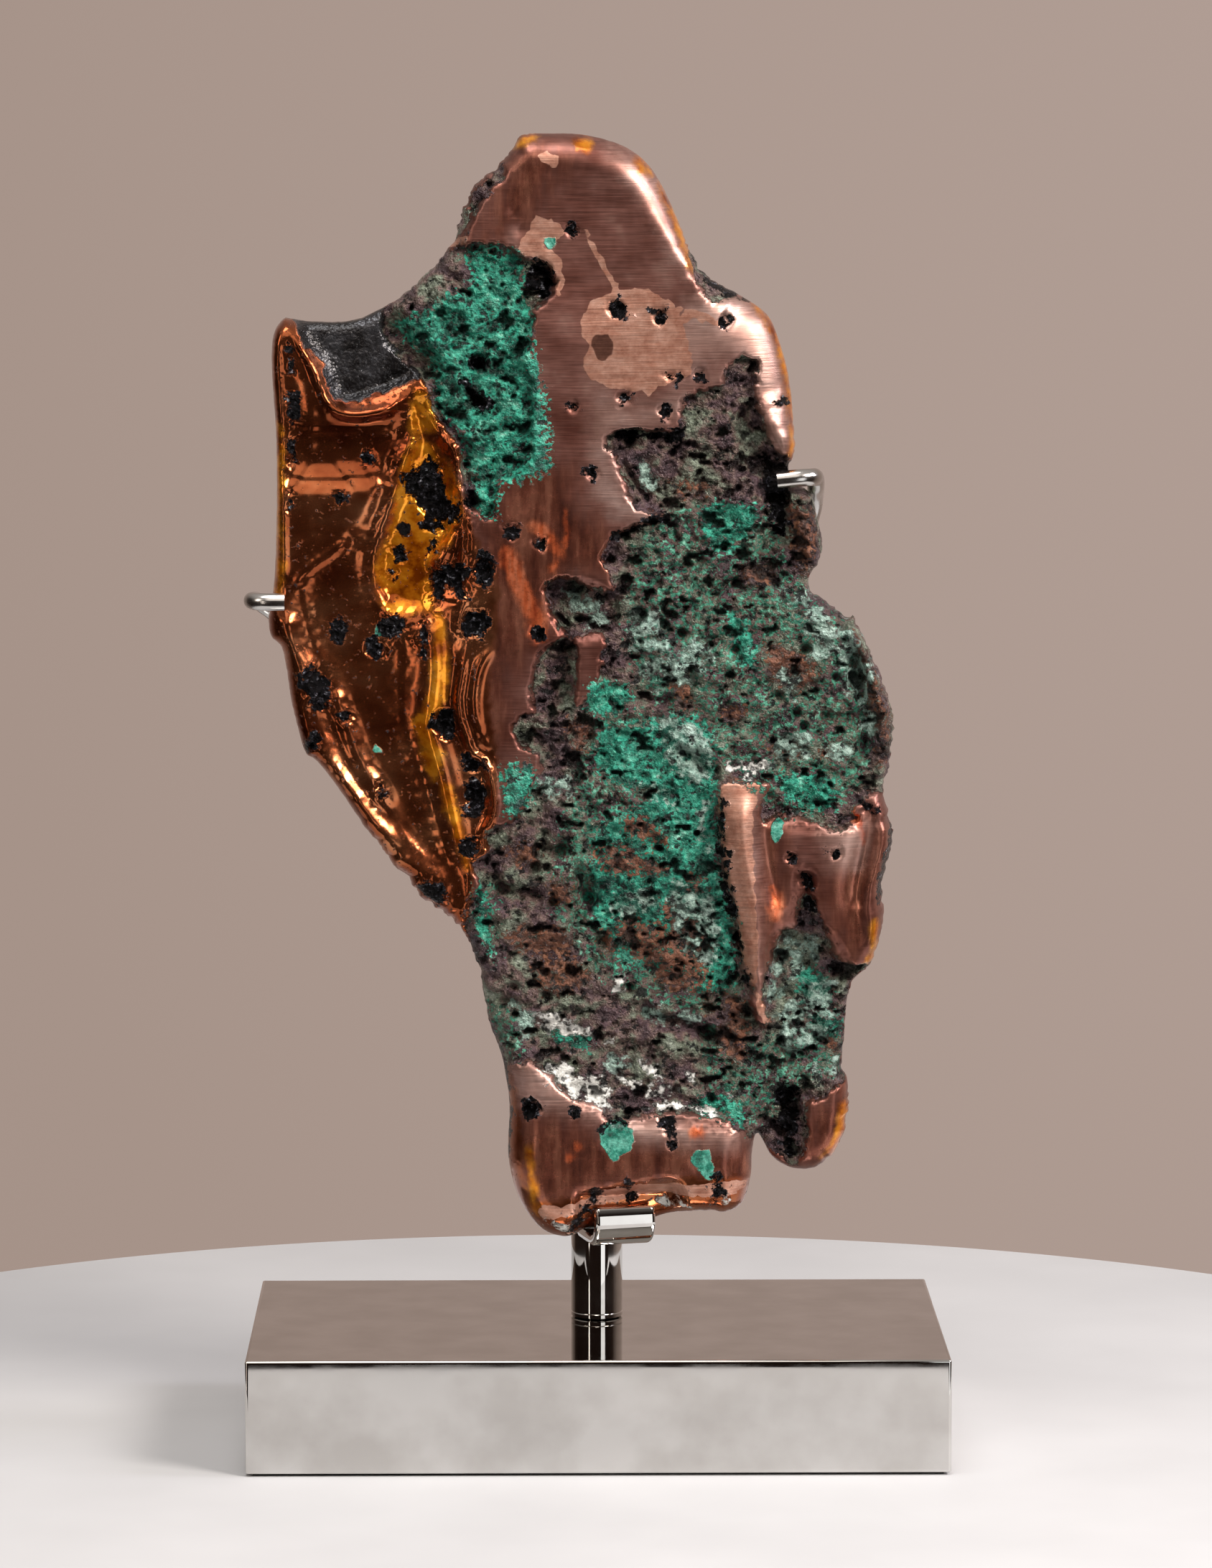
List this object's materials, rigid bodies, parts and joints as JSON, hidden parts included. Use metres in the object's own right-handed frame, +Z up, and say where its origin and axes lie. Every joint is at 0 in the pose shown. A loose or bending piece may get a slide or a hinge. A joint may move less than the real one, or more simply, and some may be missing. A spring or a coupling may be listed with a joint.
{
  "type": "native copper nugget on a stand",
  "caption": "Slab-like native copper nugget with polished folds and green crust, held upright by a saddle and side hooks on a round post and a rectangular metal block.",
  "frame": {"origin": "middle of the felt pad's underside, on the surface the object stands on", "axes": "+Z up; the nugget's show side faces -Y; +X to the right seen from the show side"},
  "size_m": [0.2549, 0.1524, 0.4801],
  "materials": {
    "native_copper": "natural copper, part polished and part covered with green and grey-brown crust",
    "polished_steel": "mirror polished",
    "felt": "thin felt"
  },
  "bodies": {
    "root": {"copper_nugget": "native_copper", "base_block": "polished_steel", "felt_pad": "felt", "post": "polished_steel", "saddle": "polished_steel", "left_prong": "polished_steel", "right_prong": "polished_steel"}
  },
  "joints": []
}
